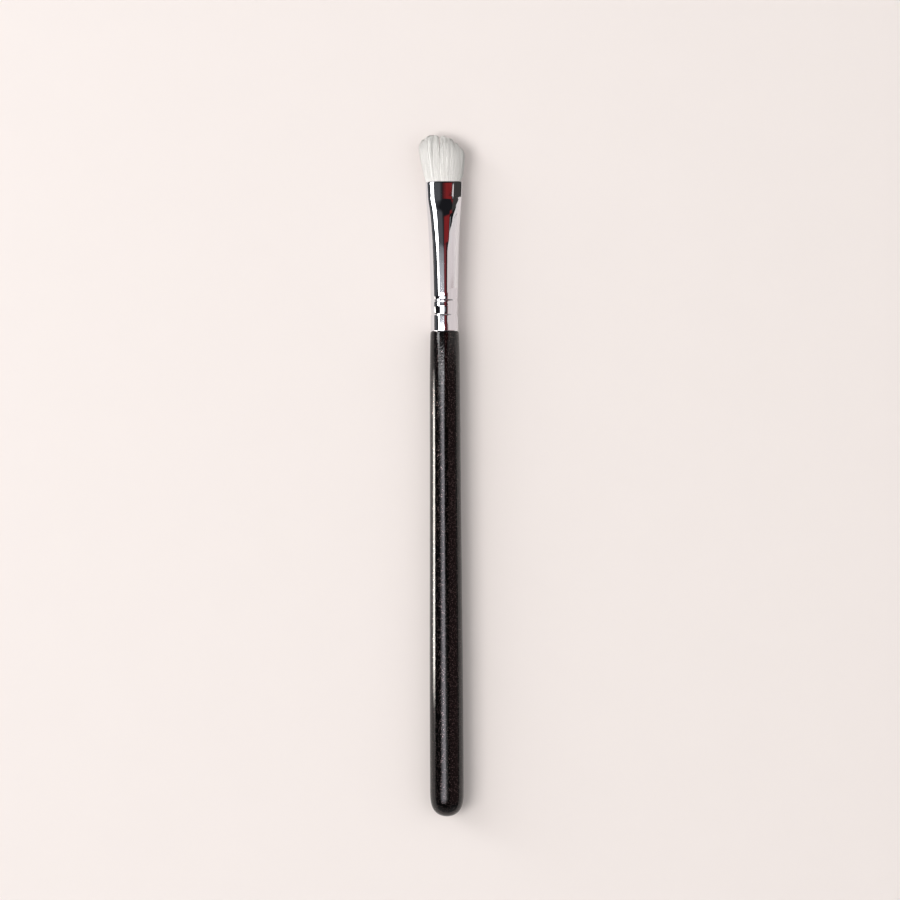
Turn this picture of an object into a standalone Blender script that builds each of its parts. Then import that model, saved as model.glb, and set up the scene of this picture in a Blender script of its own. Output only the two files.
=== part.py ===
"""An angled shader brush: a turned wooden handle, a pressed and crimped metal ferrule, a slanted flat tuft.

The brush lies along Y with its tuft towards +Y and the broad side of the tuft facing up.
Every piece is modelled along its own +Z, from the butt of the handle to the tips of the
bristles, and an empty on the brush's axis turns that +Z to the world's +Y. Sizes are in metres.
"""

from math import cos, pi, radians, sin

import bmesh
import bpy
from mathutils import Vector

# Fit
FIT_GAP = 0.0003  # clearance between pieces that seat on each other

# Handle
HANDLE_LENGTH = 0.1212  # butt end to the shoulder that the ferrule meets
HANDLE_RADIUS = 0.004225  # thickest stretch, near the butt
THICK_STRETCH = 0.0064  # length of that stretch
BUTT_LENGTH = 0.0092  # rounded end behind it
BUTT_FULLNESS = 4.8  # 2 is an ellipse, more is blunter
SHOULDER_LIP = 0.00013  # how far the handle stands proud of the ferrule
SHOULDER_ROUND = 0.0003
TENON_LENGTH = 0.011  # the stretch of the handle inside the ferrule
TENON_CHAMFER = 0.0006

# Ferrule
FERRULE_LENGTH = 0.0372
FERRULE_RADIUS = 0.0035  # outside, where it is round
FERRULE_WALL = 0.0003
MOUTH_WIDTH = 0.00925  # outside
MOUTH_THICKNESS = 0.0048  # outside
MOUTH_FLAT = 0.0016  # width of the pressed flats
REAR_BAND = 0.00375  # plain band at the handle
WIDE_CRIMP = 0.00225
MIDDLE_BAND = 0.0014  # plain band between the crimps
NARROW_CRIMP = 0.001
CRIMP_DEPTH = 0.00022
CRIMP_STEP = 0.0002  # length of each crimp's steep side

# Bristles
TUFT_LENGTH = 0.01145  # mouth of the ferrule to the longest tips
ROOT_RECESS = 0.0005  # from the mouth in to where the strands leave their root slice
ROOT_LENGTH = 0.003  # the slice in which the strands are set
LONG_SIDE_FLARE = 0.002  # how far the strands spread beyond the roots
SHORT_SIDE_FLARE = 0.00115
FLARE_HEIGHT = 0.009  # above the roots, where the spread is complete
TUFT_BELLY = 0.0047  # thickness half way up
TUFT_EDGE = 0.0023  # thickness at the tips

# Adhesive
ROOT_GLUE_LENGTH = 0.0075
HANDLE_GLUE_LENGTH = 0.0022
MENISCUS = 0.0006  # how far the free face of the adhesive is dished

# Fineness
HANDLE_SIDES = 34
HANDLE_STATIONS = 17
BUTT_STATIONS = 9
ROUND_STATIONS = 3
QUARTER_POINTS = 10  # of the ferrule's section
PRESSED_STATIONS = 20
GLUE_STATIONS = 4
DISH_STATIONS = 3
STRAND_COLUMNS = 22
STRAND_ROWS = 8
SHARP_ANGLE = radians(35)

# How the handle thickens: share of the way from the shoulder, share of the gain in radius.
HANDLE_TAPER_SHARES = (
    (0.0, 0.0),
    (0.05, 0.11),
    (0.1, 0.24),
    (0.18, 0.33),
    (0.32, 0.42),
    (0.46, 0.54),
    (0.6, 0.69),
    (0.72, 0.81),
    (0.84, 0.92),
    (1.0, 1.0),
)

# The pressed stretch of the ferrule. Each row starts with a share of the way from the mouth
# to the first crimp. Then comes, in turn, the share that is left of the mouth's extra width,
# the share that is left of its flatness, and the share that is left of the flats' width.
WIDTH_SHARES = (
    (0.0, 1.0),
    (0.16, 0.84),
    (0.25, 0.69),
    (0.375, 0.48),
    (0.51, 0.3),
    (0.64, 0.185),
    (0.77, 0.1),
    (0.9, 0.03),
    (1.0, 0.0),
)
FLATNESS_SHARES = (
    (0.0, 1.0),
    (0.08, 1.0),
    (0.14, 1.0),
    (0.16, 0.98),
    (0.2, 0.79),
    (0.264, 0.43),
    (0.36, 0.17),
    (0.5, 0.04),
    (0.7, 0.0),
    (1.0, 0.0),
)
FLAT_SHARES = (
    (0.0, 1.0),
    (0.08, 1.0),
    (0.14, 1.0),
    (0.2, 0.85),
    (0.3, 0.5),
    (0.45, 0.2),
    (0.65, 0.04),
    (0.8, 0.0),
    (1.0, 0.0),
)

# The slanted tip line: share of the way from the long side, share of the tuft's length.
TIP_LINE_SHARES = (
    (0.0, 0.77),
    (0.05, 0.885),
    (0.1, 0.935),
    (0.2, 0.985),
    (0.3, 1.0),
    (0.4, 0.985),
    (0.5, 0.97),
    (0.6, 0.943),
    (0.7, 0.908),
    (0.8, 0.838),
    (0.9, 0.747),
    (1.0, 0.638),
)
OUTER_LAYER_SHARE = 0.93  # of the middle layer's length
STRAND_FILL_SHARE = 0.7  # of the place that each strand has at its root
STRAND_TIP_SHARE = 0.6  # of a strand's girth that is left at its tip
STRAND_BEND_SHARE = 0.45  # of a strand's length, where it bends

# Places along the brush, from the butt of the handle
MOUTH = HANDLE_LENGTH + FIT_GAP + FERRULE_LENGTH
TUFT_ROOT = MOUTH - ROOT_RECESS
BRUSH_LENGTH = MOUTH + TUFT_LENGTH
TENON_END = HANDLE_LENGTH + TENON_LENGTH
PRESSED_LENGTH = FERRULE_LENGTH - REAR_BAND - WIDE_CRIMP - MIDDLE_BAND - NARROW_CRIMP

# Radii and insets that follow from the ferrule
LINING = FERRULE_WALL + FIT_GAP  # what fills the ferrule stays this far inside its skin
FRONT_RADIUS = FERRULE_RADIUS + SHOULDER_LIP
TENON_RADIUS = FERRULE_RADIUS - LINING
AXIS_HEIGHT = max(HANDLE_RADIUS, FRONT_RADIUS) * cos(pi / HANDLE_SIDES)


def mix(a, b, share):
    return a + (b - a) * share


def curve(shares, at):
    """The value at `at` of a smooth curve through a table of shares."""
    last = len(shares) - 1
    i = sum(place <= at for place, _ in shares[1:last])

    def slope(n):
        before = shares[max(n - 1, 0)]
        after = shares[min(n + 1, last)]
        return (after[1] - before[1]) / (after[0] - before[0])

    (start, low), (end, high) = shares[i : i + 2]
    span = end - start
    t = (at - start) / span
    pull = t * (1 - t) * span * ((1 - t) * slope(i) - t * slope(i + 1))
    return mix(low, high, t * t * (3 - 2 * t)) + pull


def finish(name, colour, roughness, metallic=0.0):
    made = bpy.data.materials.new(name)
    made.use_nodes = True
    shader = made.node_tree.nodes["Principled BSDF"]
    shader.inputs["Base Color"].default_value = (*colour, 1)
    shader.inputs["Roughness"].default_value = roughness
    shader.inputs["Metallic"].default_value = metallic
    made.diffuse_color = (*colour, 1)
    return made


class Brush:
    """The collection that holds the pieces, and the empty that lays them down."""

    def __init__(self):
        self.pieces = bpy.data.collections.new("angled_shader_brush")
        bpy.context.scene.collection.children.link(self.pieces)
        self.axis = bpy.data.objects.new("brush_axis", None)
        self.axis.location = (0, -BRUSH_LENGTH / 2, AXIS_HEIGHT)
        self.axis.rotation_euler = (-pi / 2, 0, 0)
        self.pieces.objects.link(self.axis)

    def add(self, name, mesh, look):
        piece = bpy.data.objects.new(name, mesh)
        mesh.materials.append(look)
        self.pieces.objects.link(piece)
        piece.parent = self.axis
        return piece

    def add_turned(self, name, profile, look):
        """A turned piece from (radius, height) points, from its front end down to its rear."""
        mesh = bpy.data.meshes.new(name)
        points = [(radius, 0, height) for radius, height in profile]
        mesh.from_pydata(points, [(i, i + 1) for i in range(len(points) - 1)], [])
        screw = self.add(name, mesh, look).modifiers.new("turn", "SCREW")
        screw.axis = "Z"
        screw.steps = screw.render_steps = HANDLE_SIDES
        screw.use_merge_vertices = True
        screw.merge_threshold = FIT_GAP / 100
        screw.use_smooth_shade = True

    def add_lofted(self, name, rings, look, capped):
        """A skin through rings of as many points each, closed with flat ends where `capped`."""
        shape = bmesh.new()
        rows = [[shape.verts.new(point) for point in ring] for ring in rings]
        for lower, upper in zip(rows, rows[1:]):
            for i, corner in enumerate(lower):
                shape.faces.new((lower[i - 1], corner, upper[i], upper[i - 1]))
        if capped:
            shape.faces.new(rows[0][::-1])
            shape.faces.new(rows[-1])
        return self.add_shape(name, shape, look)

    def add_shape(self, name, shape, look):
        mesh = bpy.data.meshes.new(name)
        shape.to_mesh(mesh)
        shape.free()
        mesh.shade_smooth()
        mesh.set_sharp_from_angle(angle=SHARP_ANGLE)
        return self.add(name, mesh, look)


def crimp_line():
    """(height, depth) of the corners of both crimps: each has a steep rear and a long front slope."""
    wide_rear = HANDLE_LENGTH + FIT_GAP + REAR_BAND
    narrow_rear = wide_rear + WIDE_CRIMP + MIDDLE_BAND
    for rear, length in ((wide_rear, WIDE_CRIMP), (narrow_rear, NARROW_CRIMP)):
        yield rear, 0
        yield rear + CRIMP_STEP, CRIMP_DEPTH
        yield rear + length, 0


def section(height, inset=0.0):
    """The ring of points `inset` inside the ferrule's outer skin, at a height along the brush."""
    way = min(max((MOUTH - height) / PRESSED_LENGTH, 0), 1)
    flat = curve(FLAT_SHARES, way)
    flatness = curve(FLATNESS_SHARES, way)
    half_flat = flat * MOUTH_FLAT / 2
    half_width = mix(FERRULE_RADIUS, MOUTH_WIDTH / 2, curve(WIDTH_SHARES, way)) - inset
    half_thickness = mix(FERRULE_RADIUS, MOUTH_THICKNESS / 2, flatness) - inset
    quarter = []
    for i in range(QUARTER_POINTS):
        round_turn = (i + 1 / 2) / QUARTER_POINTS
        flat_turn = (i + 1 / 2) / (QUARTER_POINTS - 1 / 2)
        turn = pi / 2 * mix(round_turn, flat_turn, flat)
        across = half_flat + (half_width - half_flat) * cos(turn)
        quarter.append((across, half_thickness * sin(turn)))
    half = quarter + [(-x, y) for x, y in reversed(quarter)]
    return [(x, y, height) for x, y in half] + [(-x, -y, height) for x, y in half]


def make_handle(brush, look):
    """Turned wood: a tenon that the crimps bite, a rounded shoulder, a long taper and a blunt butt."""
    profile = [
        (0, TENON_END),
        (TENON_RADIUS - TENON_CHAMFER, TENON_END),
        (TENON_RADIUS, TENON_END - TENON_CHAMFER),
    ]
    bites = sorted(crimp_line(), reverse=True)
    profile += [(TENON_RADIUS - depth, height) for height, depth in bites]
    profile.append((TENON_RADIUS, HANDLE_LENGTH))
    for i in range(ROUND_STATIONS + 1):
        turn = pi / 2 * i / ROUND_STATIONS
        radius = FRONT_RADIUS - SHOULDER_ROUND * (1 - sin(turn))
        profile.append((radius, HANDLE_LENGTH - SHOULDER_ROUND * (1 - cos(turn))))
    taper_front = HANDLE_LENGTH - SHOULDER_ROUND
    taper_rear = BUTT_LENGTH + THICK_STRETCH
    for i in range(1, HANDLE_STATIONS + 1):
        way = i / HANDLE_STATIONS
        radius = mix(FRONT_RADIUS, HANDLE_RADIUS, curve(HANDLE_TAPER_SHARES, way))
        profile.append((radius, mix(taper_front, taper_rear, way)))
    for i in range(BUTT_STATIONS):
        turn = pi / 2 * i / BUTT_STATIONS
        reach = BUTT_LENGTH * sin(turn) ** (2 / BUTT_FULLNESS)
        profile.append((HANDLE_RADIUS * cos(turn), BUTT_LENGTH - reach))
    profile.append((0, 0))
    brush.add_turned("handle", profile, look)


def make_ferrule(brush, look):
    """Thin metal tube, pressed flat at the mouth and rolled into the tenon in two crimps."""
    rings = [section(HANDLE_LENGTH + FIT_GAP)]
    rings += [section(height, depth) for height, depth in crimp_line()]
    for i in range(1, PRESSED_STATIONS + 1):
        rings.append(section(mix(MOUTH - PRESSED_LENGTH, MOUTH, i / PRESSED_STATIONS)))
    ferrule = brush.add_lofted("ferrule", rings, look, capped=False)
    wall = ferrule.modifiers.new("wall", "SOLIDIFY")
    wall.thickness = FERRULE_WALL
    wall.offset = -1
    wall.use_even_offset = True


def make_root_glue(brush, look):
    """Adhesive poured on the roots of the bristles: it fills the pressed tube and ends in a dish."""
    front = TUFT_ROOT - ROOT_LENGTH - FIT_GAP
    rear = front - ROOT_GLUE_LENGTH
    rim = section(rear, LINING)
    rings = []
    for i in range(1, DISH_STATIONS + 1):
        outward = i / (DISH_STATIONS + 1)
        lift = MENISCUS * (1 - outward**2)
        rings.append([(x * outward, y * outward, rear + lift) for x, y, _ in rim])
    for i in range(GLUE_STATIONS + 1):
        rings.append(section(mix(rear, front, i / GLUE_STATIONS), LINING))
    brush.add_lofted("root_glue", rings, look, capped=True)


def make_handle_glue(brush, look):
    """Adhesive that the tenon pushed ahead of itself: a disc with a dished front."""
    rear = TENON_END + FIT_GAP
    front = rear + HANDLE_GLUE_LENGTH
    profile = []
    for i in range(DISH_STATIONS + 1):
        outward = i / DISH_STATIONS
        profile.append((TENON_RADIUS * outward, front - MENISCUS * (1 - outward**2)))
    profile += [(TENON_RADIUS, rear), (0, rear)]
    brush.add_turned("handle_glue", profile, look)


def root_place(across, through, height):
    """A place in the root slice, from shares of -1 to 1 of its width and of its thickness."""
    ring = section(height, LINING)
    half_width = max(x for x, _, _ in ring)
    half_thickness = max(y for _, y, _ in ring)
    half_flat = min(MOUTH_FLAT / 2, half_width)
    reach = half_flat + (half_width - half_flat) * (1 - through**2) ** (1 / 2)
    return Vector((across * reach, through * half_thickness, height))


def strand_place(across, through, length):
    """Where the strand that is rooted at these shares has run for a length above its root."""
    place = root_place(across, through, TUFT_ROOT)
    flare = LONG_SIDE_FLARE if across < 0 else SHORT_SIDE_FLARE
    place.x += across * flare * (1 - (1 - min(length / FLARE_HEIGHT, 1)) ** 2)
    bend = STRAND_BEND_SHARE * (ROOT_RECESS + TUFT_LENGTH)
    if length < bend:
        place.y = mix(place.y, through * TUFT_BELLY / 2, length / bend)
    else:
        past = (length - bend) / (ROOT_RECESS + TUFT_LENGTH - bend)
        place.y = through * mix(TUFT_BELLY, TUFT_EDGE, past) / 2
    place.z += length
    return place


def strand_length(across, through):
    tip_line = TUFT_LENGTH * curve(TIP_LINE_SHARES, (across + 1) / 2)
    return ROOT_RECESS + tip_line * mix(1, OUTER_LAYER_SHARE, through**2)


def make_bristles(brush, look):
    """Tapered strands that fan out from one root slice to a slanted tip line, none of them crossing."""
    shape = bmesh.new()
    bmesh.ops.create_grid(shape, x_segments=STRAND_COLUMNS, y_segments=STRAND_ROWS, size=1)
    bmesh.ops.triangulate(shape, faces=shape.faces[:])
    cells = shape.faces[:]
    centres = [cell.calc_center_median() for cell in cells]

    # The grid is drawn back into a slice, whose rear face needs no cells.
    grid = shape.faces[:] + shape.edges[:] + shape.verts[:]
    drawn = bmesh.ops.extrude_face_region(shape, geom=grid, use_keep_orig=True)["geom"]
    rear_corners = {item for item in drawn if isinstance(item, bmesh.types.BMVert)}
    for corner in shape.verts:
        depth = ROOT_LENGTH if corner in rear_corners else 0
        corner.co = root_place(corner.co.x, corner.co.y, TUFT_ROOT - depth)
    rear_cells = [item for item in drawn if isinstance(item, bmesh.types.BMFace)]
    bmesh.ops.dissolve_faces(shape, faces=rear_cells)
    bmesh.ops.recalc_face_normals(shape, faces=shape.faces[:])

    # Each cell of the front face grows one strand, in two lengths that taper to the tip.
    bmesh.ops.inset_individual(shape, faces=cells, thickness=0)
    for cell, (across, through, _) in zip(cells, centres):
        length = strand_length(across, through)
        for share, girth in ((0, STRAND_FILL_SHARE), (STRAND_BEND_SHARE, 1), (1, STRAND_TIP_SHARE)):
            place = centre = cell.calc_center_median()
            if share:
                cell = bmesh.ops.extrude_discrete_faces(shape, faces=[cell])["faces"][0]
                place = strand_place(across, through, share * length)
            for corner in cell.verts:
                corner.co = place + (corner.co - centre) * girth
    brush.add_shape("bristles", shape, look)


for leftover in list(bpy.data.objects):
    bpy.data.objects.remove(leftover)

shader_brush = Brush()
make_handle(shader_brush, finish("black_lacquer", (0.012, 0.011, 0.011), 0.12))
make_ferrule(shader_brush, finish("polished_metal", (0.78, 0.78, 0.8), 0.08, 1.0))
make_bristles(shader_brush, finish("white_bristle", (0.84, 0.81, 0.77), 0.6))
make_root_glue(shader_brush, finish("root_adhesive", (0.62, 0.5, 0.3), 0.35))
make_handle_glue(shader_brush, finish("handle_adhesive", (0.7, 0.62, 0.45), 0.4))
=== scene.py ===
# Angled shader brush: a lacquered wooden handle, a pressed and crimped ferrule and a slanted white tuft.
# It lies along Y with its tips towards +Y and the broad side of the tuft up. Sizes are in metres.

from math import cos, pi, radians, sin, sqrt, tan

import bpy
import numpy as np
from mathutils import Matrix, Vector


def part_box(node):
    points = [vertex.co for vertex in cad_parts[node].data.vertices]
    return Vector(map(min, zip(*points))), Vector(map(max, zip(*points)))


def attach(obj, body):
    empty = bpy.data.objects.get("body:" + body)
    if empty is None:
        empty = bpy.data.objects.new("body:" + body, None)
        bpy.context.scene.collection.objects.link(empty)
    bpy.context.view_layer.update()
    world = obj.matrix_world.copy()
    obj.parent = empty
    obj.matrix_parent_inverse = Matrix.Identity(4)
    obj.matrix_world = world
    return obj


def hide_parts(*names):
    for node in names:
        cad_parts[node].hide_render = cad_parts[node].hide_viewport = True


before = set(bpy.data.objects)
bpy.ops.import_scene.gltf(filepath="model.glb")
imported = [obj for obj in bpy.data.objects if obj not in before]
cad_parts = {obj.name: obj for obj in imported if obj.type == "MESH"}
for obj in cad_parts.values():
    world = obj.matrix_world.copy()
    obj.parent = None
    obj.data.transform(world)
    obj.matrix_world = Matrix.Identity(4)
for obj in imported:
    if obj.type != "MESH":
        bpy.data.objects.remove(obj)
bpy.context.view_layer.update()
print("frame loaded:", ", ".join(sorted(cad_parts)))

# Places that the CAD nodes give
handleLow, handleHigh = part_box("handle")
ferruleLow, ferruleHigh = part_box("ferrule")
axisHeight = (ferruleLow.z + ferruleHigh.z) / 2
buttEnd = handleLow.y
tenonEnd = handleHigh.y
mouth = ferruleHigh.y
ferruleRear = ferruleLow.y
shoulderGap = 0.0003  # what the solids leave between the handle's shoulder and the ferrule
shoulder = ferruleRear - shoulderGap


# Small helpers for working as by hand

def clearSelection():
    if bpy.context.object and bpy.context.object.mode != "OBJECT":
        bpy.ops.object.mode_set(mode="OBJECT")
    bpy.ops.object.select_all(action="DESELECT")


def pick(piece):
    clearSelection()
    piece.select_set(True)
    bpy.context.view_layer.objects.active = piece


def leaveTurnedOutward():
    # turns every face of the mesh in edit mode outward and leaves that mode
    bpy.ops.mesh.select_all(action="SELECT")
    bpy.ops.mesh.normals_make_consistent(inside=False)
    bpy.ops.object.mode_set(mode="OBJECT")


def scaleRing(grow, place, height):
    bpy.ops.transform.resize(value=(grow, 1, grow), center_override=(0, place, height))


def drawThrough(name, stations, sides, closeStart=False, closeEnd=False):
    # a ring at the first (place, radius) along Y, extruded and scaled through the others
    clearSelection()
    place, radius = stations[0]
    bpy.ops.mesh.primitive_circle_add(
        vertices=sides, radius=radius, location=(0, place, axisHeight), rotation=(pi / 2, 0, 0),
        fill_type="NGON" if closeStart else "NOTHING",
    )
    piece = bpy.context.object
    piece.name = piece.data.name = name
    bpy.ops.object.transform_apply(location=True, rotation=True, scale=True)
    bpy.ops.object.mode_set(mode="EDIT")
    bpy.ops.mesh.select_mode(type="VERT")
    bpy.ops.mesh.select_all(action="SELECT")
    for nextPlace, nextRadius in stations[1:]:
        bpy.ops.mesh.extrude_edges_move(TRANSFORM_OT_translate={"value": (0, nextPlace - place, 0)})
        scaleRing(nextRadius / radius, nextPlace, axisHeight)
        place, radius = nextPlace, nextRadius
    if closeEnd:
        bpy.ops.mesh.edge_face_add()
    leaveTurnedOutward()
    return piece


def selectRings(piece, place):
    # enters edit mode with only the corners at one place along Y selected
    pick(piece)
    bpy.ops.object.mode_set(mode="EDIT")
    bpy.ops.mesh.select_mode(type="VERT")
    bpy.ops.mesh.select_all(action="DESELECT")
    bpy.ops.object.mode_set(mode="OBJECT")
    for corner in piece.data.vertices:
        corner.select = abs(corner.co.y - place) < 1e-6
    bpy.ops.object.mode_set(mode="EDIT")


def readPoints(piece):
    flat = np.empty(len(piece.data.vertices) * 3)
    piece.data.vertices.foreach_get("co", flat)
    return flat.reshape(-1, 3)


def writePoints(piece, points):
    piece.data.vertices.foreach_set("co", points.astype(np.float32).ravel())
    piece.data.update()


def smoothCurve(table, at):
    # a smooth line through (place, value) pairs
    places, values = (np.array(column, float) for column in zip(*table))
    at = np.clip(at, places[0], places[-1])
    slopes = np.gradient(values, places)
    i = np.clip(np.searchsorted(places, at, side="right") - 1, 0, len(places) - 2)
    span = places[i + 1] - places[i]
    t = (at - places[i]) / span
    hump = t * t * (3 - 2 * t)
    pull = t * (1 - t) * span * ((1 - t) * slopes[i] - t * slopes[i + 1])
    return values[i] + (values[i + 1] - values[i]) * hump + pull


def shadeSoftly(piece, angle):
    pick(piece)
    bpy.ops.object.shade_smooth_by_angle(angle=radians(angle))


# Handle: turned wood under black lacquer with fine metallic glitter

handleLook = {
    "sides": 112,
    "softBelow": 40,  # degrees between faces up to which the shading is smooth
    "shoulderRound": 0.00028,
    "shoulderSteps": 5,
    "thickRadius": 0.00422,
    "buttLength": 0.0092,
    "buttFullness": 4.8,
    "buttSteps": 26,
    "tenonRadius": 0.0029,
    "tenonChamfer": 0.0006,
    "taperStart": 0.0007,
    "taperSteps": 60,
    "taper": (  # behind the shoulder, radius
        (0.0, 0.00352), (0.00108, 0.0036), (0.0033, 0.00366), (0.0096, 0.003765), (0.0186, 0.003825),
        (0.0306, 0.00386), (0.0486, 0.003955), (0.0606, 0.00402), (0.0846, 0.00416), (0.0966, 0.0042),
        (0.1056, 0.00422), (0.112, 0.00422),
    ),
}


def tenonLine(look):
    # from the tenon's end back to the shoulder, with a groove for each crimp
    radius, chamfer = look["tenonRadius"], look["tenonChamfer"]
    yield tenonEnd, radius - chamfer
    yield tenonEnd - chamfer, radius
    for along, depth in reversed(list(crimpLine(ferruleLook))):
        yield shoulder + along, radius - depth
    yield shoulder, radius


def shoulderLine(look):
    front, bend, steps = look["taper"][0][1], look["shoulderRound"], look["shoulderSteps"]
    for i in range(steps + 1):
        turn = pi / 2 * i / steps
        yield shoulder - bend * (1 - cos(turn)), front - bend * (1 - sin(turn))


def buttLine(look):
    length, steps = look["buttLength"], look["buttSteps"]
    for i in range(1, steps):
        turn = pi / 2 * i / steps
        reach = length * sin(turn) ** (2 / look["buttFullness"])
        yield buttEnd + length - reach, look["thickRadius"] * cos(turn)


def makeHandle(look):
    stations = [*tenonLine(look), *shoulderLine(look)]
    taperEnd = shoulder - buttEnd - look["buttLength"]
    for back in np.linspace(look["taperStart"], taperEnd, look["taperSteps"]):
        stations.append((shoulder - back, float(smoothCurve(look["taper"], back))))
    stations += buttLine(look)
    handle = drawThrough("handleLacquered", stations, look["sides"], closeEnd=True)
    selectRings(handle, tenonEnd)
    bpy.ops.mesh.edge_face_add()
    leaveTurnedOutward()
    shadeSoftly(handle, look["softBelow"])
    return handle


# Ferrule: a thin bright tube, pressed oval at the mouth, rolled into the tenon twice

ferruleLook = {
    "sides": 160,
    "softBelow": 50,
    "radius": 0.0035,
    "wall": 0.0003,
    "mouthWidth": 0.00925,
    "mouthThickness": 0.0048,
    "mouthFlat": 0.001,
    "flatSpread": 0.06,  # share of the radius over which the flat's two ends are drawn apart
    "crown": 0.06,
    "rearOverhang": 0.00028,  # how far it goes on behind the solid, nearly to the shoulder
    "rearRim": (  # ahead of the rear edge, depth
        (0, 0.00011), (0.00003, 0.00005), (0.00008, 0.00001), (0.00013, 0), (0.00022, 0),
    ),
    "rearBand": 0.0037,
    "crimps": (  # length, depth, length of its lead-in, depth of that
        (0.00225, 0.00018, 0.0001, 0.000001), (0.001, 0.00012, 0.0011, 0.000012),
    ),
    "crimpStep": 0.00028,
    "crimpEdge": ((0.00016, 0), (0.00008, 0.01)),  # behind the crimp, share of its depth
    "crimpRear": (  # share of the step, share of the depth
        (0.1, 0.05), (0.3, 0.22), (0.55, 0.55), (0.8, 0.84), (1.0, 0.96), (1.25, 1.0),
    ),
    "crimpFront": (  # share of the slope that is left, share of the depth
        (0.93, 0.98), (0.8, 0.86), (0.6, 0.64), (0.4, 0.42), (0.2, 0.2), (0.08, 0.06), (0.0, 0.0),
    ),
    "leadShares": (0.2, 0.4, 0.6, 0.8, 0.95),
    "leadEnd": 0.00008,
    "middleBand": 0.0014,
    "bandSlope": 0.02,
    "bandShares": (0.25, 0.5, 0.75, 0.85),
    "pressed": 0.0288,
    "pressedSteps": 72,
    "closestRings": 0.0001,
    "rimReach": 0.0006,
    "rimTuck": 0.0004,
    "rimFullness": 0.75,
    "rimSteps": (12, 8),  # in all, in a quarter turn
    "lipBack": 1.6,  # where the curled lip ends, in reaches of the rim
    "lipSlack": 0.0001,
    "innerBack": 0.0016,
    "innerSteps": 30,
    "innerSlack": 0.00004,
    "boreSlack": 0.00002,
    "boreLine": ((0.002, 0), (0.0001, 0), (0, 0.00006)),  # ahead of the rear edge, wider than the bore
    "widthLeft": (  # share of the pressed length behind the mouth, share of the widening that is left
        (0.0, 1.0), (0.08, 0.92), (0.16, 0.83), (0.25, 0.68), (0.375, 0.475), (0.51, 0.295), (0.64, 0.185),
        (0.77, 0.1), (0.9, 0.03), (1.0, 0.0),
    ),
    "flatnessLeft": (
        (0.0, 1.0), (0.08, 1.0), (0.155, 0.99), (0.2, 0.78), (0.264, 0.42), (0.36, 0.17), (0.5, 0.04),
        (0.7, 0.0), (1.0, 0.0),
    ),
}


def crimpLine(look):
    # (ahead of the handle's shoulder, depth), each crimp steep at its rear and sloping at its front
    start = shoulderGap + look["rearBand"]
    for length, depth, _, _ in look["crimps"]:
        yield start, 0
        yield start + look["crimpStep"], depth
        yield start + length, 0
        start += length + look["middleBand"]


def rollCrimp(look, crimp, start):
    length, depth, lead, leadDepth = crimp
    radius, step, band = look["radius"], look["crimpStep"], look["middleBand"]
    for back, hump in look["crimpEdge"]:
        yield start - back, radius - depth * hump
    for share, hump in look["crimpRear"]:
        yield start + step * share, radius - depth * hump
    slope = length - step * look["crimpRear"][-1][0]
    front = start + length
    for share, hump in look["crimpFront"]:
        yield front - slope * share, radius - leadDepth - (depth - leadDepth) * hump
    for share in look["leadShares"]:
        yield front + lead * share, radius - leadDepth * (1 - share) ** 2
    yield front + lead, radius
    yield front + lead + look["leadEnd"], radius
    if crimp is look["crimps"][0]:
        # the band between the crimps is drawn in a little at its front
        for share in look["bandShares"]:
            yield front + band * share, radius - band * share * look["bandSlope"]


def rimLine(look):
    # round the mouth's edge and a little way back inside
    count, quarter = look["rimSteps"]
    for i in range(1, count + 1):
        turn = pi / 2 * i / quarter
        depth = look["rimTuck"] * (1 - cos(turn)) * look["rimFullness"]
        yield mouth - look["rimReach"] + look["rimReach"] * sin(turn), look["radius"] - depth


def innerLine(look, rear):
    inner = look["radius"] - look["wall"]
    yield mouth - look["rimReach"] * look["lipBack"], inner - look["lipSlack"]
    for place in np.linspace(mouth - look["innerBack"], mouth - look["pressed"], look["innerSteps"]):
        yield float(place), inner - look["innerSlack"]
    bore = look["radius"] - look["crimps"][0][1] - look["wall"] - look["boreSlack"]
    for along, wider in look["boreLine"]:
        yield rear + along, bore + wider


def pressFlat(piece, look):
    points = readPoints(piece)
    radial = np.hypot(points[:, 0], points[:, 2] - axisHeight)
    turnCos = points[:, 0] / radial
    turnSin = (points[:, 2] - axisHeight) / radial
    radius = look["radius"]
    inset = radius - radial
    way = np.clip((mouth - points[:, 1]) / look["pressed"], 0, 1)
    flatness = np.clip(smoothCurve(look["flatnessLeft"], way), 0, 1)
    halfFlat = look["mouthFlat"] / 2 * flatness
    halfWidth = radius + (look["mouthWidth"] / 2 - radius) * smoothCurve(look["widthLeft"], way) - inset
    halfThick = radius + (look["mouthThickness"] / 2 - radius) * flatness - inset
    # the flat part is as if the two ends had been drawn apart
    drawnApart = np.clip(turnCos / look["flatSpread"], -1, 1) * halfFlat
    points[:, 0] = drawnApart + (halfWidth - halfFlat) * turnCos
    dome = 1 - look["crown"] * flatness * (points[:, 0] / halfWidth) ** 2
    points[:, 2] = axisHeight + halfThick * turnSin * dome
    writePoints(piece, points)


def makeFerrule(look):
    rear = ferruleRear - look["rearOverhang"]
    stations = [(rear + along, look["radius"] - depth) for along, depth in look["rearRim"]]
    start = ferruleRear + look["rearBand"]
    for crimp in look["crimps"]:
        stations += rollCrimp(look, crimp, start)
        start += crimp[0] + look["middleBand"]
    for place in np.linspace(mouth - look["pressed"], mouth - look["rimReach"], look["pressedSteps"]):
        if place > stations[-1][0] + look["closestRings"]:
            stations.append((float(place), look["radius"]))
    stations += rimLine(look)
    stations += innerLine(look, rear)
    ferrule = drawThrough("ferrulePolished", stations, look["sides"])
    # the two ends of the skin meet at the rear edge
    selectRings(ferrule, rear)
    bpy.ops.mesh.bridge_edge_loops()
    leaveTurnedOutward()
    pressFlat(ferrule, look)
    shadeSoftly(ferrule, look["softBelow"])
    return ferrule


# Tuft: thousands of fine tapered hairs, rooted inside the mouth, combed to a slanted tip line

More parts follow.
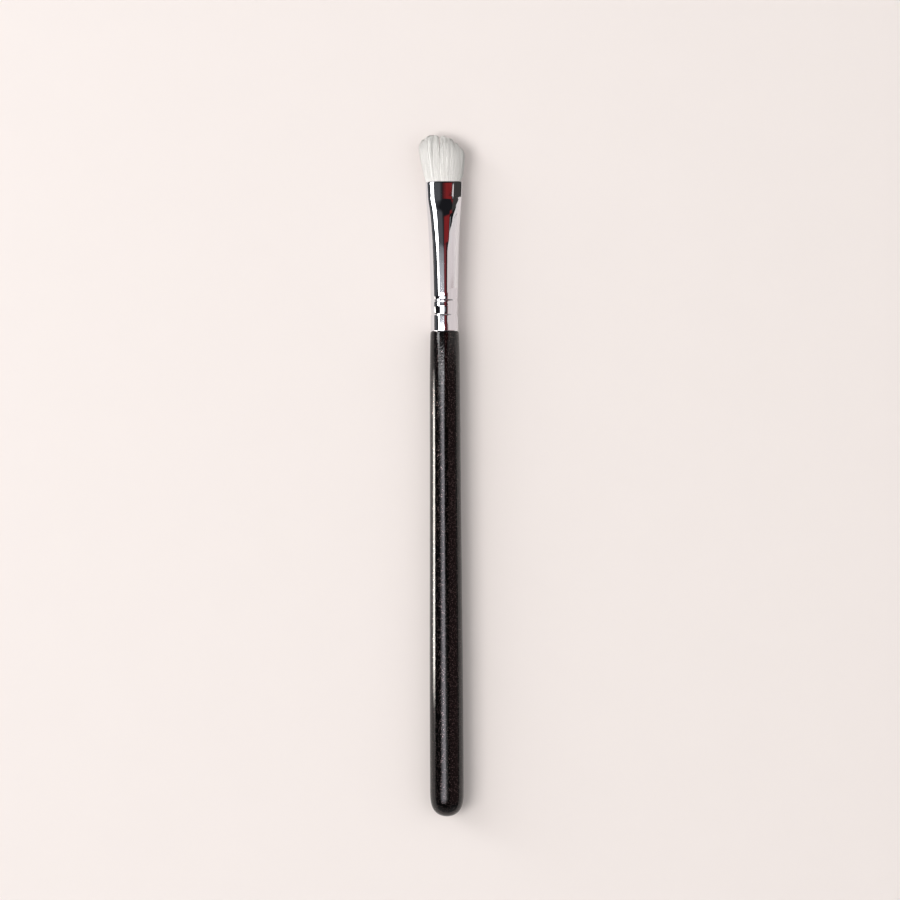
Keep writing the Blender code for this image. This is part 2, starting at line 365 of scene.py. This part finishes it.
tuftLook = {
    "hairs": 6500,
    "seed": 7,
    "hairRadius": 0.00005,
    "girths": (0.8, 1.2),  # range of the hairs' own shares of that
    "hairShape": (  # share of the length, share of the radius
        (0, 1), (0.22, 1), (0.42, 0.97), (0.62, 0.92), (0.82, 0.8), (1, 0.4),
    ),
    "rootDepth": 0.0022,
    "rootScatter": (0.006, 0.01),  # across, through, as shares of the half width and the half thickness
    "leftReach": (  # height above the mouth, reach from the axis
        (-0.0022, 0.0041), (-0.0004, 0.00422), (0.0, 0.00437), (0.0003, 0.00462), (0.00105, 0.00489),
        (0.0028, 0.00525), (0.0042, 0.00556), (0.00565, 0.00583), (0.00695, 0.00605), (0.008, 0.00615),
        (0.0091, 0.00619), (0.0116, 0.0062),
    ),
    "rightReach": (
        (-0.0022, 0.0041), (-0.0004, 0.0042), (0.0, 0.00432), (0.0003, 0.00452), (0.0018, 0.00479),
        (0.0039, 0.00508), (0.0057, 0.00519), (0.0072, 0.0052), (0.0116, 0.0052),
    ),
    "sideBlend": 3,  # how sharply the left reach gives way to the right one in the middle
    "halfThickness": (
        (-0.0022, 0.0018), (-0.0004, 0.0019), (0.0, 0.00206), (0.0003, 0.0022), (0.0014, 0.00232),
        (0.0035, 0.0024), (0.0055, 0.00232), (0.0075, 0.00205), (0.0095, 0.0016), (0.0116, 0.00105),
    ),
    "tipLine": (  # across from the left side to the right one, height above the mouth
        (-1.0, 0.0079), (-0.985, 0.00905), (-0.944, 0.00983), (-0.863, 0.01033), (-0.77, 0.0106),
        (-0.738, 0.01098), (-0.633, 0.01135), (-0.54, 0.01158), (-0.355, 0.01152), (-0.19, 0.01137),
        (0.0, 0.01122), (0.106, 0.01113), (0.216, 0.01085), (0.35, 0.0106), (0.46, 0.01015), (0.63, 0.0094),
        (0.79, 0.00855), (0.93, 0.0078), (0.985, 0.0073), (1.0, 0.0068),
    ),
    "roundOver": (0.1, 0.06),  # share that the outer layers are shorter by, by the square and fourth power
    "partings": (  # across, width at the tips, height where it starts, depth of its notch in the tip line
        (-0.17, 0.0002, 0.005, 0.0003), (-0.07, 0.00008, 0.0085, 0.0001), (-0.76, 0.00008, 0.0092, 0.0001),
        (0.12, 0.00012, 0.0085, 0.0002), (0.33, 0.0001, 0.0083, 0.00015),
        (0.53, 0.00014, 0.0073, 0.00025), (0.78, 0.00008, 0.0065, 0.0002),
    ),
    "partingReach": 0.04,
    "partingRise": 0.006,
    "partingBend": 0.8,
    "clumps": 160,
    "clumpTurn": 0.4,
    "clumpScatter": 0.05,
    "clumpStretch": 0.6,  # what counts of a distance through the tuft beside one across it
    "clumpPull": 0.25,
    "clumpPulls": (0.5, 1.3),  # range of the clumps' own shares of that
    "pullThrough": 0.8,
    "pullStart": 0.002,
    "pullRise": 0.0095,
    "pullBend": 1.6,
    "unevenTips": 0.00022,
    "unevenClumps": 0.00018,
    "waviness": 0.00002,
    "waveRise": 0.006,
    "waveLengths": (0.0021, 0.0024),
    "mouthThinness": 0.5,
    "slopeStep": 0.0003,
    "tipLean": 0.3,
    "unevenRoll": 0.5,
    "heartShare": 0.84,
    "heartHeightShare": 0.84,
    "heartSides": 48,
    "heartSoftBelow": 60,
    "heartShape": (  # share of the height, share of the girth
        (0, 0.5), (0.02, 1), *[(i / 16, 1) for i in range(1, 14)], (0.86, 0.94), (0.92, 0.78), (0.95, 0.5),
    ),
}


def modelHair(look):
    # one three-sided hair, a unit long and a unit in radius, drawn along +Y to a point
    clearSelection()
    bpy.ops.mesh.primitive_circle_add(
        vertices=3, radius=1, location=(0, 0, 0), rotation=(pi / 2, 0, 0), fill_type="NGON",
    )
    hair = bpy.context.object
    bpy.ops.object.transform_apply(location=True, rotation=True, scale=True)
    bpy.ops.object.mode_set(mode="EDIT")
    bpy.ops.mesh.select_mode(type="FACE")
    bpy.ops.mesh.select_all(action="SELECT")
    place, girth = look["hairShape"][0]
    for nextPlace, nextGirth in look["hairShape"][1:]:
        bpy.ops.mesh.extrude_region_move(TRANSFORM_OT_translate={"value": (0, nextPlace - place, 0)})
        scaleRing(nextGirth / girth, nextPlace, 0)
        place, girth = nextPlace, nextGirth
    leaveTurnedOutward()
    bpy.ops.object.shade_smooth()
    for end in (0, 1):  # crisp ends keep the shading round along the whole hair
        selectRings(hair, end)
        bpy.ops.mesh.mark_sharp()
        bpy.ops.object.mode_set(mode="OBJECT")
    return hair


def tuftHeight(look, across, through):
    square, fourth = look["roundOver"]
    return smoothCurve(look["tipLine"], across) * (1 - square * through ** 2 - fourth * through ** 4)


def tuftPlace(look, across, through, rise):
    # where a hair rooted at these shares of the mouth's width and thickness has got to
    left = smoothCurve(look["leftReach"], rise)
    right = smoothCurve(look["rightReach"], rise)
    middle = np.clip(across * look["sideBlend"] + 0.5, 0, 1)
    width = left + (right - left) * middle
    return across * width, through * smoothCurve(look["halfThickness"], rise)


def spreadOnDisc(count, start, scatter, draw):
    # places spread evenly over a disc of radius 1 along a spiral, each a little off
    number = np.arange(count)
    turn = number * pi * (3 - sqrt(5)) + start
    outward = np.sqrt((number + 0.5) / count)
    across = outward * np.cos(turn) + draw.normal(0, scatter[0], count)
    return across, outward * np.sin(turn) + draw.normal(0, scatter[1], count)


def combTuft(tuft, look):
    count, clumps = look["hairs"], look["clumps"]
    draw = np.random.RandomState(look["seed"])
    across, through = spreadOnDisc(count, 0, look["rootScatter"], draw)
    over = np.maximum(np.hypot(across, through), 1)
    across, through = across / over, through / over

    # clumps draw their hairs a little together towards the tips
    clumpAcross, clumpThrough = spreadOnDisc(clumps, look["clumpTurn"], (look["clumpScatter"],) * 2, draw)
    offAcross, offThrough = across[:, None] - clumpAcross, through[:, None] - clumpThrough
    nearest = np.argmin(np.hypot(offAcross, look["clumpStretch"] * offThrough), axis=1)
    pull = look["clumpPull"] * draw.uniform(*look["clumpPulls"], clumps)[nearest]
    height = tuftHeight(look, across, through) - np.abs(draw.normal(0, look["unevenTips"], count))
    height += draw.normal(0, look["unevenClumps"], clumps)[nearest]
    for where, _, _, notch in look["partings"]:
        height -= notch * np.exp(-((across - where) / look["partingReach"]) ** 2)

    points = readPoints(tuft).reshape(count, -1, 3)
    side, share, lift = points[:, :, 0], points[:, :, 1], points[:, :, 2]
    root = -look["rootDepth"]
    rise = root + share * (height[:, None] - root)
    ramp = np.clip((rise - look["pullStart"]) / look["pullRise"], 0, 1)
    gather = pull[:, None] * ramp ** look["pullBend"]
    goAcross = across[:, None] + (clumpAcross[nearest] - across)[:, None] * gather
    goThrough = through[:, None] + (clumpThrough[nearest] - through)[:, None] * gather * look["pullThrough"]
    x, z = tuftPlace(look, goAcross, goThrough, rise)
    for where, gap, start, _ in look["partings"]:
        apart = across[:, None] - where
        ramp = np.clip((rise - start) / look["partingRise"], 0, 1) ** look["partingBend"]
        x += np.sign(apart) * gap * np.exp(-(apart / look["partingReach"]) ** 2) * ramp

    # a slight wave, roll and girth of each hair's own
    wave = draw.uniform(0, 2 * pi, (2, count))[:, :, None]
    swing = look["waviness"] * np.clip(rise / look["waveRise"], 0, 1)
    x += swing * np.sin(rise / look["waveLengths"][0] + wave[0])
    z += swing * np.sin(rise / look["waveLengths"][1] + wave[1])
    facing = np.arctan2(through / look["mouthThinness"], across)
    roll = (facing + pi / 2 + draw.normal(0, look["unevenRoll"], count))[:, None]
    girth = look["hairRadius"] * draw.uniform(*look["girths"], count)[:, None]
    points[:, :, 0] = x + girth * (side * np.cos(roll) - lift * np.sin(roll))
    points[:, :, 1] = mouth + rise
    points[:, :, 2] = axisHeight + z + girth * (side * np.sin(roll) + lift * np.cos(roll))
    writePoints(tuft, points.reshape(-1, 3))
    tell(tuft, look, np.repeat(draw.uniform(0, 1, count), points.shape[1]))


def tell(piece, look, tone):
    # what the finish reads: each hair's own whiteness, and which way the tuft as a whole faces there
    tones = piece.data.attributes.new("hairTone", "FLOAT", "POINT")
    tones.data.foreach_set("value", tone.astype(np.float32))
    points = readPoints(piece)
    rise = points[:, 1] - mouth
    reach, _ = tuftPlace(look, np.where(points[:, 0] < 0, -1, 1), 0, rise)
    thick, step = look["halfThickness"], look["slopeStep"]
    up = (points[:, 2] - axisHeight) / smoothCurve(thick, rise) ** 2
    out = np.stack([points[:, 0] / reach ** 2, np.zeros(len(points)), up], axis=1)
    narrowing = (smoothCurve(thick, rise + step) - smoothCurve(thick, rise - step)) / (2 * step)
    size = np.linalg.norm(out, axis=1, keepdims=True)
    out = out / np.maximum(size, 1e-9)
    out[:, 1] = -narrowing * np.abs(out[:, 2]) * look["tipLean"]
    faces = piece.data.attributes.new("faces", "FLOAT_VECTOR", "POINT")
    faces.data.foreach_set("vector", out.astype(np.float32).ravel())


def makeHeart(look):
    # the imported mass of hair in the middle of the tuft, a smooth body just beneath the combed ones
    stations = [(place - 0.5, look["heartShare"] * share) for place, share in look["heartShape"]]
    heart = drawThrough("tuftHeart", stations, look["heartSides"], True, True)
    points = readPoints(heart)
    across = points[:, 0]
    through = points[:, 2] - axisHeight
    share = points[:, 1] + 0.5
    height = tuftHeight(look, across, through) * look["heartHeightShare"]
    rise = share * (height + look["rootDepth"]) - look["rootDepth"]
    x, z = tuftPlace(look, across, through, rise)
    writePoints(heart, np.stack([x, mouth + rise, axisHeight + z], axis=1))
    tell(heart, look, np.full(len(points), 0.5))
    shadeSoftly(heart, look["heartSoftBelow"])
    return heart


def makeTuft(look):
    tuft = modelHair(look)
    tuft.name = tuft.data.name = "tuftHair"
    pick(tuft)
    many = tuft.modifiers.new("many", "ARRAY")
    many.count = look["hairs"]
    many.use_relative_offset = False
    many.use_constant_offset = True
    many.constant_offset_displace = (0, 0, 0)
    bpy.ops.object.modifier_apply(modifier=many.name)
    combTuft(tuft, look)
    heart = makeHeart(look)
    clearSelection()
    heart.select_set(True)
    tuft.select_set(True)
    bpy.context.view_layer.objects.active = tuft
    bpy.ops.object.join()
    return tuft


# Helpers for node trees

def fill(tree, socket, value):
    # a socket takes a plain value or another node's output
    if isinstance(value, bpy.types.NodeSocket):
        tree.links.new(value, socket)
    else:
        socket.default_value = value


def fillAll(tree, node, sockets):
    for name, value in sockets.items():
        fill(tree, node.inputs[name], value)


def addNode(tree, kind, sockets=None, **settings):
    node = tree.nodes.new("ShaderNode" + kind)
    for key, value in settings.items():
        setattr(node, key, value)
    fillAll(tree, node, sockets or {})
    return node


def calculate(tree, kind, operation, *values):
    return addNode(tree, kind, dict(enumerate(values)), operation=operation).outputs[0]


def mapRange(tree, value, start, full, **settings):
    # 0 at the start and 1 where it is full
    sockets = {"Value": value, "From Min": start, "From Max": full}
    return addNode(tree, "MapRange", sockets, **settings).outputs["Result"]


def blendTones(tree, amount, tones, places=(0, 1)):
    ramp = addNode(tree, "ValToRGB", {"Fac": amount})
    for stop, tone, place in zip(ramp.color_ramp.elements, tones, places):
        stop.position = place
        stop.color = (*tone, 1)
    return ramp.outputs["Color"]


def noise(tree, place, scale, detail=2):
    return addNode(tree, "TexNoise", {"Vector": place, "Scale": scale, "Detail": detail}).outputs["Fac"]


def bump(tree, height, strength, depth):
    sockets = {"Strength": strength, "Distance": depth, "Height": height}
    return addNode(tree, "Bump", sockets).outputs["Normal"]


def newMaterial(name):
    made = bpy.data.materials.new(name)
    made.use_nodes = True
    return made, made.node_tree, made.node_tree.nodes["Principled BSDF"]


def objectPlace(tree):
    return addNode(tree, "TexCoord").outputs["Object"]


# Finishes

lacquerLook = {
    "tones": ((0.0015, 0.0013, 0.0013), (0.21, 0.155, 0.152)),  # lacquer, flake
    "flakeScale": 4200,
    "flakeEdge": (0.5, 0.25),  # how far from a cell's middle its flake ends and is full
    "fewFlakes": 0.62,
    "flakeTilt": 0.18,
    "roughness": 0.16,
    "coatRoughness": 0.03,
    "coatIor": 1.42,
    "rippleScale": 2400,
    "ripple": (0.22, 0.00006),  # strength, depth
}


def lacquerFinish(look):
    lacquer, tree, shader = newMaterial("blackGlitterLacquer")
    place = objectPlace(tree)
    sockets = {"Scale": look["flakeScale"], "Vector": place}
    flakes = addNode(tree, "TexVoronoi", sockets, voronoi_dimensions="3D", feature="F1")
    # few cells hold a flake, and a flake doesn't fill its cell
    parts = addNode(tree, "SeparateColor", {"Color": flakes.outputs["Color"]})
    body = mapRange(tree, flakes.outputs["Distance"], *look["flakeEdge"], interpolation_type="SMOOTHSTEP")
    chosen = mapRange(tree, parts.outputs["Red"], look["fewFlakes"], 1)
    shown = calculate(tree, "Math", "MULTIPLY", body, chosen)
    # each flake lies at its own angle
    tilt = look["flakeTilt"]
    upright = addNode(tree, "NewGeometry").outputs["Normal"]
    random = flakes.outputs["Color"]
    lean = calculate(tree, "VectorMath", "MULTIPLY_ADD", random, (tilt,) * 3, (-tilt / 2,) * 3)
    leaned = calculate(tree, "VectorMath", "ADD", upright, lean)
    # the flakes make the clear coat over them very slightly lumpy
    ripple = noise(tree, place, look["rippleScale"], 1)
    fillAll(tree, shader, {
        "Base Color": blendTones(tree, shown, look["tones"]),
        "Metallic": shown,
        "Roughness": look["roughness"],
        "Normal": calculate(tree, "VectorMath", "NORMALIZE", leaned),
        "Specular IOR Level": 0,
        "Coat Weight": 1,
        "Coat Roughness": look["coatRoughness"],
        "Coat IOR": look["coatIor"],
        "Coat Normal": bump(tree, ripple, *look["ripple"]),
    })
    return lacquer


platingLook = {
    "tones": ((0.7, 0.7, 0.73), (0.86, 0.86, 0.88)),
    "streaks": (3000, 140, 3000),  # how fine they are across, along and up
    "roughness": (0.015, 0.06),
    "skin": (0.03, 0.00006),  # strength, depth
}


def platingFinish(look):
    plating, tree, shader = newMaterial("polishedPlating")
    streaks = addNode(tree, "Mapping", {"Scale": look["streaks"], "Vector": objectPlace(tree)})
    grain = noise(tree, streaks.outputs["Vector"], 1, 3)
    smoothest, roughest = look["roughness"]
    polish = addNode(tree, "MapRange", {"To Min": smoothest, "To Max": roughest, "Value": grain})
    fillAll(tree, shader, {
        "Base Color": blendTones(tree, grain, look["tones"]),
        "Metallic": 1,
        "Roughness": polish.outputs["Result"],
        "Normal": bump(tree, grain, *look["skin"]),
    })
    return plating


hairLook = {
    "tones": ((0.95, 0.93, 0.895), (1, 0.988, 0.96)),
    "asOne": 0.58,  # how far each hair is shaded as the whole tuft is
    "roughness": 0.45,
    "sheen": 0.4,
    "sheenRoughness": 0.4,
}


def hairFinish(look):
    hair, tree, shader = newMaterial("warmWhiteHair")
    tone = addNode(tree, "Attribute", attribute_name="hairTone").outputs["Fac"]
    # packed hairs pass light on to each other, so each is shaded partly as the whole tuft is
    faces = addNode(tree, "Attribute", attribute_name="faces").outputs["Vector"]
    own = addNode(tree, "NewGeometry").outputs["Normal"]
    # a vector mix has its two vectors in sockets 4 and 5 and its result in socket 1
    blend = addNode(tree, "Mix", data_type="VECTOR")
    fillAll(tree, blend, {"Factor": look["asOne"], 4: own, 5: faces})
    fillAll(tree, shader, {
        "Base Color": blendTones(tree, tone, look["tones"]),
        "Roughness": look["roughness"],
        "Normal": calculate(tree, "VectorMath", "NORMALIZE", blend.outputs[1]),
        "Sheen Weight": look["sheen"],
        "Sheen Roughness": look["sheenRoughness"],
    })
    return hair


glueLooks = {
    "root_glue": {
        "name": "amberResin",
        "tones": ((0.5, 0.36, 0.17), (0.68, 0.56, 0.35)),
        "scale": 900,
        "roughness": 0.35,
    },
    "handle_glue": {
        "name": "driedWoodGlue",
        "tones": ((0.6, 0.52, 0.36), (0.76, 0.69, 0.52)),
        "scale": 1200,
        "roughness": 0.45,
    },
}


def glueFinish(look):
    glue, tree, shader = newMaterial(look["name"])
    cloud = noise(tree, objectPlace(tree), look["scale"], 4)
    fillAll(tree, shader, {
        "Base Color": blendTones(tree, cloud, look["tones"]),
        "Roughness": look["roughness"],
    })
    return glue


def dress(piece, finish):
    piece.data.materials.clear()
    piece.data.materials.append(finish)


# Making the pieces

handle = makeHandle(handleLook)
dress(handle, lacquerFinish(lacquerLook))
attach(handle, "root")
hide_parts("handle")
print("handle turned:", len(handle.data.polygons), "faces")

ferrule = makeFerrule(ferruleLook)
dress(ferrule, platingFinish(platingLook))
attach(ferrule, "root")
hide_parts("ferrule")
print("ferrule pressed:", len(ferrule.data.polygons), "faces")

tuft = makeTuft(tuftLook)
dress(tuft, hairFinish(hairLook))
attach(tuft, "root")
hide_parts("bristles")
print("tuft combed:", len(tuft.data.polygons), "faces")

for node, look in glueLooks.items():
    dress(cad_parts[node], glueFinish(look))
print("adhesives coloured:", len(glueLooks))


# Stage: pale floor, plain studio light, camera

stageLook = {
    "floorColour": (0.86, 0.8, 0.78),
    "floorGrain": (60, 0.985),  # how fine, how much darker
    "floorSize": 12,
    "floorDrop": 0.00002,
    "ambient": (0.36, 0.352, 0.345),
    "roomEnds": (0.46, 0.44, 0.44),
    "roomDark": (0.012, 0.012, 0.014),
    "horizon": (0.078, 0.13),
    "endsFrom": (0.45, 0.7),
    "endsUpTo": (0.75, 0.2),
    "cameraHeight": 0.9,
    "frameWidth": 0.225,
    "sensor": 36,
    "aim": (0.0012, 0.0065),
    "lean": -0.28,
}


def layFloor(look):
    clearSelection()
    bpy.ops.mesh.primitive_plane_add(size=look["floorSize"], location=(0, 0, -look["floorDrop"]))
    floor = bpy.context.object
    floor.name = "floor"
    paper, tree, shader = newMaterial("paleFloor")
    fineness, darker = look["floorGrain"]
    grain = noise(tree, objectPlace(tree), fineness)
    tones = [c * darker for c in look["floorColour"]], look["floorColour"]
    fillAll(tree, shader, {
        "Base Color": blendTones(tree, grain, tones),
        "Roughness": 0.9,
        "Specular IOR Level": 0,
    })
    floor.data.materials.append(paper)


def hangSoftbox(
    name, sides, ends, glow, tint=(1, 1, 1), soft=(0, 0, 0, 0), distance=0.7, shows="glossy", cut=None,
):
    # sides are its edges' bearings about the brush's axis, 0 straight up and positive to the right
    # ends are where it starts and stops along the brush
    # soft is the share of the box over which its left, right, near and far edges fade
    # cut is how far the cut-off corner at the left near end reaches, as shares of both sides, and less
    # than 0 along the brush where it is the far end's
    lamp = bpy.data.lights.new(name, "AREA")
    lamp.shape = "RECTANGLE"
    lamp.size = 2 * distance * tan(radians(sides[1] - sides[0]) / 2)
    lamp.size_y = ends[1] - ends[0]
    lamp.energy = glow * pi * lamp.size * lamp.size_y
    lamp.color = tint
    box = bpy.data.objects.new(name, lamp)
    turn = radians(sides[0] + sides[1]) / 2
    box.location = (distance * sin(turn), (ends[0] + ends[1]) / 2, axisHeight + distance * cos(turn))
    box.rotation_euler = (0, turn, 0)
    box.visible_camera = False
    box.visible_diffuse = shows == "diffuse"
    box.visible_glossy = shows == "glossy"
    bpy.context.scene.collection.objects.link(box)
    if any(soft) or cut:
        softenEdges(lamp, soft, cut)


def softenEdges(lamp, soft, cut):
    lamp.use_nodes = True
    tree = lamp.node_tree
    glowing = next(node for node in tree.nodes if node.type == "EMISSION")
    parts = addNode(tree, "SeparateXYZ", {0: addNode(tree, "NewGeometry").outputs["Parametric"]})
    fades = []
    for share, axis, start, way in zip(soft, "XXYY", (0, 1, 0, 1), (1, -1, 1, -1)):
        if share:
            fades.append((parts.outputs[axis], start, start + way * share))
    if cut:
        farEnd = max(-1 / cut[1], 0)
        across = calculate(tree, "Math", "MULTIPLY_ADD", parts.outputs["Y"], 1 / cut[1], farEnd)
        along = calculate(tree, "Math", "MULTIPLY_ADD", parts.outputs["X"], 1 / cut[0], across)
        fades.append((along, 1, 1.1))
    strength = 1
    for source, start, full in fades:
        strength = calculate(tree, "Math", "MULTIPLY", mapRange(tree, source, start, full), strength)
    fill(tree, glowing.inputs["Strength"], strength)


def hangSun(name, tiltAcross, tiltAlong, strength, softness, tint=(1, 1, 1)):
    lamp = bpy.data.lights.new(name, "SUN")
    lamp.energy = strength
    lamp.angle = radians(softness)
    lamp.color = tint
    sun = bpy.data.objects.new(name, lamp)
    sun.rotation_euler = (radians(tiltAlong), radians(tiltAcross), 0)
    sun.visible_glossy = False
    bpy.context.scene.collection.objects.link(sun)


def standCard(name, place, ends, height, glow):
    # an upright card along the brush that only reflections show
    clearSelection()
    bpy.ops.mesh.primitive_plane_add(
        size=1, location=(place, sum(ends) / 2, height / 2), rotation=(0, pi / 2, 0),
    )
    card = bpy.context.object
    card.name = name
    card.scale = (height, ends[1] - ends[0], 1)
    paint, tree, shader = newMaterial(name)
    fillAll(tree, shader, {
        "Base Color": (0, 0, 0, 1),
        "Specular IOR Level": 0,
        "Emission Color": (*glow, 1),
        "Emission Strength": 1,
    })
    card.data.materials.append(paint)
    card.visible_camera = card.visible_diffuse = card.visible_shadow = card.visible_transmission = False


def setWorld(look):
    # seen straight it has the floor's colour, it lights softly all round, and reflections show a dim room
    world = bpy.data.worlds.new("studio")
    bpy.context.scene.world = world
    world.use_nodes = True
    tree = world.node_tree
    parts = addNode(tree, "SeparateXYZ", {0: addNode(tree, "TexCoord").outputs["Generated"]})
    shown = blendTones(tree, parts.outputs["Z"], (look["floorColour"], look["roomDark"]), look["horizon"])
    # the room is paler low down beyond both ends of the brush
    beyond = mapRange(tree, calculate(tree, "Math", "ABSOLUTE", parts.outputs["Y"]), *look["endsFrom"])
    low = mapRange(tree, parts.outputs["Z"], *look["endsUpTo"])
    rays = addNode(tree, "LightPath")
    for amount, colour in (
        (calculate(tree, "Math", "MULTIPLY", beyond, low), look["roomEnds"]),
        (rays.outputs["Is Diffuse Ray"], look["ambient"]),
        (rays.outputs["Is Camera Ray"], look["floorColour"]),
    ):
        mix = addNode(tree, "MixRGB", {"Fac": amount, "Color1": shown, "Color2": (*colour, 1)})
        shown = mix.outputs["Color"]
    fill(tree, tree.nodes["Background"].inputs["Color"], shown)


def placeCamera(look):
    eye = bpy.data.cameras.new("eye")
    eye.sensor_width = look["sensor"]
    eye.lens = look["sensor"] * look["cameraHeight"] / look["frameWidth"]
    camera = bpy.data.objects.new("eye", eye)
    camera.location = (*look["aim"], axisHeight + look["cameraHeight"])
    camera.rotation_euler = (0, 0, radians(look["lean"]))
    bpy.context.scene.collection.objects.link(camera)
    bpy.context.scene.camera = camera


layFloor(stageLook)

hangSun("keyFromLeft", -32, 8, 1.02, 30, (1, 0.972, 0.935))
hangSun("fillFromRight", 40, 0, 0.5, 60)
hangSun("rimFromLeft", -74, -28, 0.6, 20)

# two boxes that light the tuft and the floor and that nothing reflects
hangSoftbox(
    "boxOverheadLight", (-51, -5), (-0.25, 0.067), 2.6,
    soft=(0.6, 0.1, 0, 0.08), distance=0.75, shows="diffuse",
)
hangSoftbox("boxHighLight", (-65, -37), (0.058, 0.5), 2.9, distance=0.75, shows="diffuse")

# the bright bars on the ferrule and the grey band on the handle
hangSoftbox("boxOverhead", (-40, -3), (-0.165, 0.069), 6.4, (0.97, 0.93, 1), soft=(0.55, 0.22, 0, 0.01))
hangSoftbox("boxOverheadFar", (-47, 0), (-0.45, -0.165), 6, (0.97, 0.93, 1), soft=(0.42, 0.28, 0.8, 0))
hangSoftbox("boxOverheadWide", (-57, -28), (-0.06, 0.069), 0.25, (0.97, 0.94, 1), soft=(0.4, 0.4, 0.5, 0))
hangSoftbox("boxOverheadEnd", (-50, -2), (0.045, 0.069), 7, soft=(0.05, 0.02, 0.5, 0.1))
hangSoftbox("boxOverheadSpill", (-10, 12), (-0.3, -0.05), 2, soft=(0, 1, 0, 0.3))
hangSoftbox("boxOverheadFade", (-38, -1), (0.069, 0.112), 0.75, (0.92, 0.95, 1), soft=(0, 0.06, 0, 1))
hangSoftbox("boxHigh", (-64.5, -41), (0.058, 0.5), 8, soft=(0.12, 0.12, 0, 0), cut=(0.8, 0.131))

# low strips on the left for the thin bright line along the handle
hangSoftbox("stripLow", (-93, -83), (-0.12, 0.045), 3, (1, 0.95, 0.88), soft=(0, 0.3, 0.1, 0.1))
hangSoftbox(
    "stripBeside", (-102, -75), (-0.06, 0.028), 24, (1, 0.96, 0.9),
    soft=(0.5, 0.3, 0.15, 0.15), distance=0.026,
)

# the pale right side of the ferrule and the dim, reddish one of the handle
hangSoftbox("panelRight", (22.5, 84), (0.074, 0.104), 0.8, (1, 0.9, 0.88), soft=(0.02, 0, 0, 0))
hangSoftbox("panelRightBeyond", (22.5, 84), (0.104, 0.146), 0.8, (1, 0.92, 0.9), cut=(0.408, -1))
hangSoftbox("panelRightHigh", (47, 84), (0.146, 0.24), 0.8, (1, 0.94, 0.92), cut=(0.487, -1))
hangSoftbox("panelRightNear", (20, 84), (-0.45, 0.074), 0.24, (1, 0.56, 0.56), soft=(0.06, 0.06, 0.2, 0))
hangSoftbox("panelRightEdge", (33, 38), (0.12, 0.2), 0.2)

# the dark red stripe and patch, and the dim greys beside them
hangSoftbox("cardWarm", (-2, 31), (0.116, 0.26), 0.22, (1, 0.04, 0.035), soft=(0.14, 0.08, 0.01, 0.2))
hangSoftbox("cardWarmNear", (-3, 18), (0.03, 0.118), 0.17, (1, 0.1, 0.11), soft=(0.15, 0.35, 0.3, 0.1))
hangSoftbox("cardWarmHigh", (27, 47), (0.24, 0.335), 0.15, (1, 0.05, 0.055), soft=(0.25, 0.1, 0, 0.2))
hangSoftbox("cardGrey", (-40, -1), (0.1, 0.42), 0.08, (0.9, 0.94, 1), soft=(0, 0.3, 0, 0.4))
hangSoftbox("cardSlate", (-84, -60), (0.05, 0.5), 0.06, (0.88, 0.94, 1))

standCard("flagLeft", -0.1, (0.034, 0.4), 0.016, (0.05, 0.055, 0.06))
standCard("flagRight", 0.1, (-0.3, 0.034), 0.014, (0, 0, 0))
standCard("flagMouth", 0.012, (0.07, 0.09), 0.0185, (0.05, 0.047, 0.045))
standCard("cardRightClose", 0.012, (0.0366, 0.0472), 0.027, (0.8, 0.72, 0.704))

setWorld(stageLook)
placeCamera(stageLook)
bpy.context.scene.view_settings.view_transform = "Standard"
print("stage lit")
